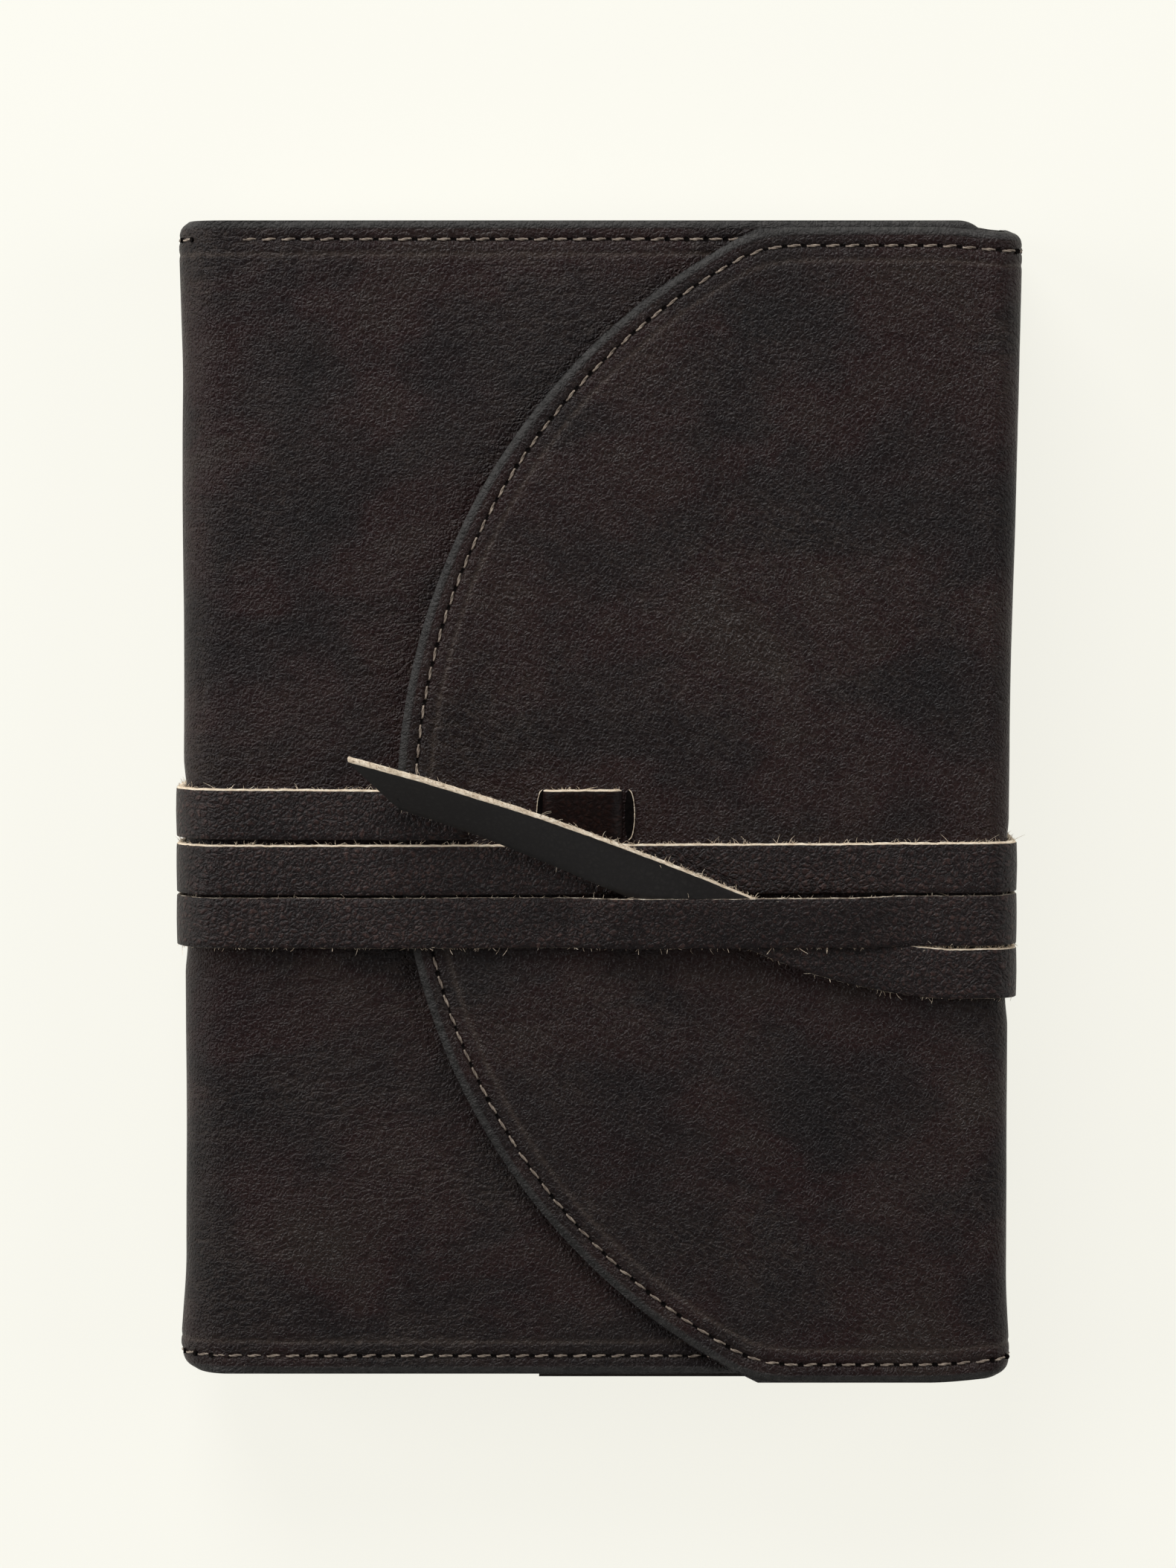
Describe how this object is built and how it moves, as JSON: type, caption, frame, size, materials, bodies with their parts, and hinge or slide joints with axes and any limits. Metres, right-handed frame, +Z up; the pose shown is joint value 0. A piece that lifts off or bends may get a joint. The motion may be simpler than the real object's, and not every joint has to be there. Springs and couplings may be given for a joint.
{
  "type": "leather notebook cover",
  "caption": "Soft leather journal cover with a curved wrap-round flap laced and tied by a long wound strap, closed over a sewn notebook held in inner pockets.",
  "frame": {"origin": "bottom centre of the closed cover, lying on its back", "axes": "+X from the spine to the fore-edge, +Y from tail to head, +Z up, out of the front"},
  "size_m": [0.1628, 0.222, 0.0331],
  "materials": {
    "outer_leather": "satin",
    "lining_leather": "matte",
    "strap_leather": "satin",
    "thread": "matte",
    "page_paper": "matte",
    "notebook_card": "matte"
  },
  "bodies": {
    "back_cover": {"leather_back": "outer_leather", "lining_back": "lining_leather", "stitching_back": "thread", "pocket_back": "lining_leather", "notebook_back_card": "notebook_card", "signature_1": "page_paper", "signature_2": "page_paper", "signature_3": "page_paper", "signature_4": "page_paper", "strap_back_runs": "strap_leather", "strap_turn_1": "strap_leather", "strap_turn_2": "strap_leather", "strap_turn_3": "strap_leather", "strap_tail": "strap_leather"},
    "spine": {"leather_spine": "outer_leather", "lining_spine": "lining_leather", "stitching_spine": "thread"},
    "front_cover": {"leather_front": "outer_leather", "lining_front": "lining_leather", "stitching_front": "thread", "pocket_front": "lining_leather", "notebook_front_card": "notebook_card"},
    "front_leaves": {"signature_5": "page_paper", "signature_6": "page_paper", "signature_7": "page_paper", "signature_8": "page_paper"},
    "fore_edge": {"leather_fore_edge": "outer_leather", "lining_fore_edge": "lining_leather", "stitching_fore_edge": "thread"},
    "flap": {"leather_flap": "outer_leather", "lining_flap": "lining_leather", "stitching_flap": "thread", "strap_lacing": "strap_leather"}
  },
  "joints": [
    {"name": "spine_fold", "type": "hinge", "parent": "back_cover", "child": "spine", "pos_m": [-0.07776, 0, 0.00419], "axis": [0, -1, 0], "range_deg": [0, 90], "deforming": ["strap_turn_1", "strap_turn_2", "strap_turn_3", "strap_tail"]},
    {"name": "front_fold", "type": "hinge", "parent": "spine", "child": "front_cover", "pos_m": [-0.07776, 0, 0.02331], "axis": [0, -1, 0], "range_deg": [0, 90]},
    {"name": "leaves_turn", "type": "hinge", "parent": "back_cover", "child": "front_leaves", "pos_m": [-0.0762, 0, 0.01375], "axis": [0, -1, 0], "range_deg": [0, 180]},
    {"name": "fore_edge_fold", "type": "hinge", "parent": "back_cover", "child": "fore_edge", "pos_m": [0.07788, 0, 0.00287], "axis": [0, 1, 0], "range_deg": [0, 90]},
    {"name": "flap_fold", "type": "hinge", "parent": "fore_edge", "child": "flap", "pos_m": [0.07788, 0, 0.02715], "axis": [0, 1, 0], "range_deg": [0, 90], "deforming": ["leather_flap", "lining_flap", "stitching_flap", "strap_lacing"]}
  ],
  "couplings": [
    {"joint": "front_fold", "follows": "spine_fold", "ratio": 1},
    {"joint": "leaves_turn", "follows": "spine_fold", "ratio": 2},
    {"joint": "fore_edge_fold", "follows": "spine_fold", "ratio": 1},
    {"joint": "flap_fold", "follows": "spine_fold", "ratio": 1}
  ]
}
